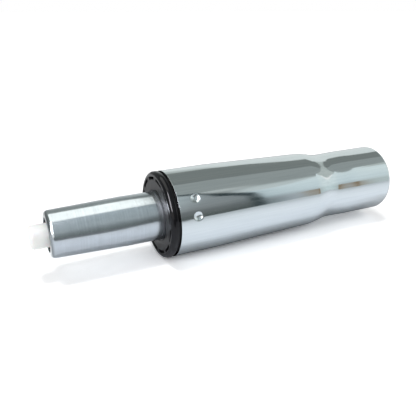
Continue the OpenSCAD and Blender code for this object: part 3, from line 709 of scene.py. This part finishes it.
def white_sweep():
    """White card, lifted for the camera so that only the part's shadow shows on it; the lift is painted
    light, greater where the part hides the sky. Reflections see painted light and shade on it: darker under
    the part's front half, past its base end and close to the part, brighter under its back half and just
    behind it, and darker towards the front edge and the back."""
    finish, tree = empty_finish("white_sweep")
    path = node(tree, "ShaderNodeLightPath", {}).outputs
    place = place_of(tree)
    touch = openness(tree, TOUCH_REACH, 0.1, 0.6)
    # Painted light and shade that reflections see: darker under the part's front, brighter than white under
    # its back and behind it.
    painted_light_and_shade = ramp_along(tree, place["Y"], [(-600, (0.50, 0.53, 0.56)), (-230, (0.55, 0.58, 0.62)),
                                        (-75, (0.80, 0.83, 0.89)), (-35, (0.83, 0.86, 0.93)),
                                        (-15, (0.75, 0.77, 0.82)), (0, (0.66, 0.68, 0.72)),
                                        (12, (1.45, 1.46, 1.48)), (50, (1.15, 1.16, 1.18)),
                                        (85, (0.92, 0.94, 0.95)), (250, (0.72, 0.74, 0.75)),
                                        (600, (0.68, 0.70, 0.71))])
    # Painted shadow that reflections see, past the part's base end.
    past_end_painted_shadow = maths(tree, "MULTIPLY", fade(tree, place["Y"], -40, -10), fade(tree, place["X"], 105, 140))
    painted_light_and_shade = mix(tree, past_end_painted_shadow, painted_light_and_shade, (0.34, 0.35, 0.37, 1))
    # Painted shade that reflections see where the part is close above the sweep.
    painted_reflection = mix(tree, touch, (0.38, 0.39, 0.41, 1), painted_light_and_shade)
    # Painted light for the camera: more lift where the part hides the sky, which pales its shadow, and less
    # where it nearly touches.
    open_sky = openness(tree, SHADOW_REACH, 0.16, 0.60)
    painted_shadow_lift = mix(tree, open_sky, (2.2, 2.2, 2.22, 1), (1.15, 1.15, 1.15, 1))
    direct = mix(tree, touch, (1.6, 1.6, 1.61, 1), painted_shadow_lift)
    plain = (0.95, 0.95, 0.95, 1)
    colour = mix(tree, path["Is Glossy Ray"], plain, painted_reflection)
    colour = mix(tree, path["Is Camera Ray"], colour, direct)
    paint = node(tree, "ShaderNodeBsdfDiffuse", {"Color": colour})
    node(tree, "ShaderNodeOutputMaterial", {"Surface": paint.outputs["BSDF"]})
    return finish


def stage_sheet(name, corners, finish):
    """A flat sheet of the studio, from its corners in millimetres."""
    made = bmesh.new()
    made.faces.new([made.verts.new(Vector(c) * MM) for c in corners])
    mesh = bpy.data.meshes.new(name)
    made.to_mesh(mesh)
    made.free()
    sheet = bpy.data.objects.new(name, mesh)
    sheet.data.materials.append(finish)
    bpy.context.scene.collection.objects.link(sheet)
    return sheet


stage_sheet("sweep", [(x * FAR, y * FAR, FLOOR_Z) for x, y in ((-1, -1), (1, -1), (1, 1), (-1, 1))],
            white_sweep())

# Studio
# Cards that only reflections see stand for the studio round the part: a soft box over the tube, lamps at the
# left, a grey ceiling in pieces, a dark screen in front that leans back, walls, and a brown post.
FRONT_Y = -600
CEILING_Z = 300
LEAN = 0.619


def card(name, paint, corners):
    """A card that only reflections see. Its paint is a colour, or a function that shades it by the place."""
    finish, tree = empty_finish(name)
    colour = paint(tree, place_of(tree)) if callable(paint) else (*paint, 1)
    glow = node(tree, "ShaderNodeEmission", {"Color": colour, "Strength": 1.0})
    node(tree, "ShaderNodeOutputMaterial", {"Surface": glow.outputs["Emission"]})
    sheet = stage_sheet(name, corners, finish)
    sheet.visible_camera = False
    sheet.visible_diffuse = False
    sheet.visible_transmission = False
    sheet.visible_volume_scatter = False
    sheet.visible_shadow = False


def shaded_along(axis, *stops):
    """A paint that changes along one axis, by stops of place and colour."""
    return lambda tree, place: ramp_along(tree, place[axis], stops)


def screen_paint(tree, place):
    """Darker towards the table and towards the right."""
    up = ramp_along(tree, place["Y"], [(-600, (0.19, 0.22, 0.22)), (-500, (0.22, 0.25, 0.25)),
                                       (-400, (0.29, 0.32, 0.33)), (-300, (0.46, 0.51, 0.53)),
                                       (-75, (0.50, 0.57, 0.60))])
    across = ramp_along(tree, place["X"], [(60, (1, 1, 1)), (120, (0.62, 0.60, 0.60)),
                                           (300, (0.50, 0.50, 0.50))])
    return darkened(tree, up, across)


def wall_paint(tree, place):
    """A bluish wall, darker near the table and towards the screen."""
    low = ramp_along(tree, place["X"], [(380, (0.22, 0.25, 0.27)), (440, (0.28, 0.32, 0.34)),
                                        (485, (0.44, 0.48, 0.52)), (640, (0.54, 0.60, 0.61)),
                                        (1100, (0.66, 0.76, 0.78))])
    high = ramp_along(tree, place["X"], [(400, (0.52, 0.61, 0.65)), (600, (0.69, 0.78, 0.82)),
                                         (1000, (0.77, 0.85, 0.87))])
    return mix(tree, fade(tree, place["Z"], 130, 260), low, high)


def gap_paint(tree, place):
    """Darker towards the screen at the left, paler towards the front at the right."""
    left = ramp_along(tree, place["Y"], [(-300, (0.10, 0.11, 0.11)), (-270, (0.16, 0.17, 0.17)),
                                         (-235, (0.34, 0.36, 0.36)), (-215, (0.46, 0.49, 0.49)),
                                         (-195, (0.54, 0.57, 0.57))])
    right = ramp_along(tree, place["Y"], [(-330, (0.62, 0.67, 0.68)), (-240, (0.58, 0.63, 0.64)),
                                          (-212, (0.46, 0.50, 0.50)), (-190, (0.33, 0.36, 0.36))])
    return mix(tree, fade(tree, place["X"], 180, 250), left, right)


def overhead(lift, points):
    """Corners on the ceiling, by their X and Y."""
    return [(x, y, CEILING_Z + lift) for x, y in points]


def leaning(lift, points):
    """Corners on the screen that leans back from the table's front edge, by their X and Y."""
    return [(x, y, FLOOR_Z + LEAN * (y - FRONT_Y) + lift) for x, y in points]


def upright(y, points):
    """Corners on a wall that stands across the view, by their X and Z."""
    return [(x, y, z) for x, z in points]


card("soft_box", (1.6, 1.62, 1.58),
     overhead(0, [(-220, -62), (60, -62), (60, 190), (47, 207), (-12, 222), (-60, 238), (-220, 250)]))
card("soft_box_end", (0.27, 0.30, 0.29), overhead(1, [(-900, -75), (-220, -75), (-220, 300), (-900, 300)]))
card("ceiling_back",
     shaded_along("X", (0, (0.32, 0.35, 0.34)), (100, (0.43, 0.46, 0.46)), (200, (0.52, 0.56, 0.55)),
                  (280, (0.71, 0.75, 0.75))),
     overhead(4, [(-900, 180), (300, 180), (300, 1300), (-900, 1300)]))
card("ceiling_front", (0.33, 0.36, 0.36),
     overhead(0, [(60, -172), (270, -172), (315, -156), (405, -138), (478, -72), (495, 12), (60, 12)]))
card("ceiling_joint", (0.20, 0.22, 0.22), overhead(-1, [(60, 12), (360, 12), (360, 19), (60, 22)]))
card("ceiling_rear", (0.22, 0.24, 0.235),
     overhead(0, [(60, 12), (490, 12), (501, 70), (501, 160), (480, 205), (431, 180), (374, 196),
                  (308, 228), (293, 281), (281, 330), (219, 354), (153, 380), (60, 390)]))
card("ceiling_fringe", (0.48, 0.51, 0.50),
     overhead(3, [(60, 300), (480, 190), (500, 215), (431, 196), (374, 214), (316, 246), (303, 300),
                  (288, 352), (219, 388), (153, 420), (60, 430)]))
card("ceiling_gap", gap_paint,
     overhead(2, [(118, -150), (350, -150), (350, -290), (330, -335), (150, -335)]))
card("dark_screen", screen_paint,
     leaning(0, [(-74, -600), (378, -600), (353, -556), (282, -439), (234, -352), (207, -294), (193, -268),
                 (168, -242), (130, -224), (108, -179), (92, -160), (74, -150), (50, -62), (-74, -62),
                 (-115, -250), (-115, -470), (-74, -480)]))
card("screen_edge", (0.035, 0.05, 0.055),
     leaning(4, [(-74, -600), (410, -600), (382, -556), (306, -439), (241, -322), (208, -254), (185, -228),
                 (162, -207), (127, -189), (108, -160), (92, -143), (75, -135), (55, -62), (-74, -62)]))
card("side_wall", wall_paint, upright(FRONT_Y, [(60, FLOOR_Z), (1600, FLOOR_Z), (1600, 1500), (60, 1500)]))
card("wooden_post",
     shaded_along("X", (495, (0.42, 0.45, 0.48)), (530, (0.41, 0.37, 0.32)), (556, (0.30, 0.23, 0.16)),
                  (585, (0.28, 0.21, 0.14)), (612, (0.42, 0.39, 0.34)), (650, (0.52, 0.57, 0.58))),
     upright(FRONT_Y + 4, [(492, FLOOR_Z), (650, FLOOR_Z), (650, 160), (512, 160)]))
card("left_lamp", (9.0, 8.75, 9.5),
     overhead(0, [(-105, -50), (-160, -188), (-235, -375), (-370, -640), (-520, -670), (-365, -477),
                  (-124, -145)]))
card("left_lamp_far", (15.0, 14.6, 15.8),
     overhead(1, [(-124, -145), (-365, -477), (-520, -670), (-740, -560), (-640, -270), (-400, -165),
                  (-240, -75), (-165, -50)]))
card("ceiling_side", (0.53, 0.57, 0.56),
     overhead(3, [(395, -130), (400, -174), (560, -180), (1500, -430), (1500, 600), (480, 215), (503, 160),
                  (503, 70), (497, 12), (480, -72)]))
card("left_wall", (0.30, 0.31, 0.33),
     [(-900, -100, FLOOR_Z), (-900, 1000, FLOOR_Z), (-900, 1000, CEILING_Z), (-900, -100, CEILING_Z)])
card("far_wall",
     shaded_along("X", (-500, (0.30, 0.32, 0.32)), (0, (0.44, 0.46, 0.46)), (80, (0.59, 0.62, 0.62)),
                  (200, (0.70, 0.74, 0.74)), (350, (0.77, 0.81, 0.81))),
     upright(1500, [(-3000, FLOOR_Z), (3000, FLOOR_Z), (3000, 3000), (-3000, 3000)]))
card("skirting", (0.30, 0.31, 0.32),
     upright(1490, [(-600, FLOOR_Z), (300, FLOOR_Z), (300, 130), (-600, 130)]))
card("dark_floor", (0.20, 0.21, 0.22),
     [(x, y, FLOOR_Z + 0.2) for x, y in ((-45, -112), (96, -327), (230, -600), (-340, -600), (-300, -380),
                                         (-200, -240))])
card("low_screen", (0.16, 0.17, 0.18), leaning(2, [(-340, -600), (-74, -600), (-74, -480), (-290, -480)]))

# Light
# An even white sky, and two lamps that reflections don't see: a key lamp above and a softer one from the
# button's side. The camera and reflections see the sky as a white backdrop.
SKY_STRENGTH = 0.82
LAMPS = (("key_lamp", 0.8, 11, (-0.15, 0.0, 1.0)), ("fill_lamp", 0.6, 40, (-1.0, -0.4, 0.35)))


def sees_background(tree):
    """1 for camera, glossy and transmission rays, which see the background as it is."""
    path = node(tree, "ShaderNodeLightPath", {}).outputs
    shiny = maths(tree, "MAXIMUM", path["Is Glossy Ray"], path["Is Transmission Ray"])
    return maths(tree, "MAXIMUM", path["Is Camera Ray"], shiny)


world = bpy.data.worlds.new("studio")
bpy.context.scene.world = world
world.use_nodes = True
sky = world.node_tree
sky.nodes.clear()
open_air = node(sky, "ShaderNodeBackground", {"Color": (1, 1, 1, 1), "Strength": SKY_STRENGTH})
backdrop = node(sky, "ShaderNodeBackground", {"Color": (1, 1, 1, 1), "Strength": 1.0})
seen = node(sky, "ShaderNodeMixShader",
            {0: sees_background(sky), 1: open_air.outputs["Background"], 2: backdrop.outputs["Background"]})
node(sky, "ShaderNodeOutputWorld", {"Surface": seen.outputs["Shader"]})

for name, energy, width, towards in LAMPS:
    lamp = bpy.data.lights.new(name, "SUN")
    lamp.energy = energy
    lamp.angle = math.radians(width)
    light = bpy.data.objects.new(name, lamp)
    light.rotation_euler = Vector(towards).to_track_quat("Z", "Y").to_euler()
    light.visible_glossy = False
    bpy.context.scene.collection.objects.link(light)

# Camera
# It stands a little above the part, on the button's side, and looks down on it. Its place and its lens were
# fitted to the outline in the photo.
CAMERA_AT = (-120.413, -245.581, 108.51)
LOOK_DOWN = 21.89
TURN_RIGHT = 26.15

lens = bpy.data.cameras.new("camera")
lens.sensor_width = 36
lens.lens = 42.53
lens.clip_start = 0.01
lens.clip_end = 100
camera = bpy.data.objects.new("camera", lens)
camera.location = Vector(CAMERA_AT) * MM
camera.rotation_euler = (math.radians(90 - LOOK_DOWN), 0, math.radians(-TURN_RIGHT))
bpy.context.scene.collection.objects.link(camera)
bpy.context.scene.camera = camera
bpy.context.scene.view_settings.view_transform = "Standard"
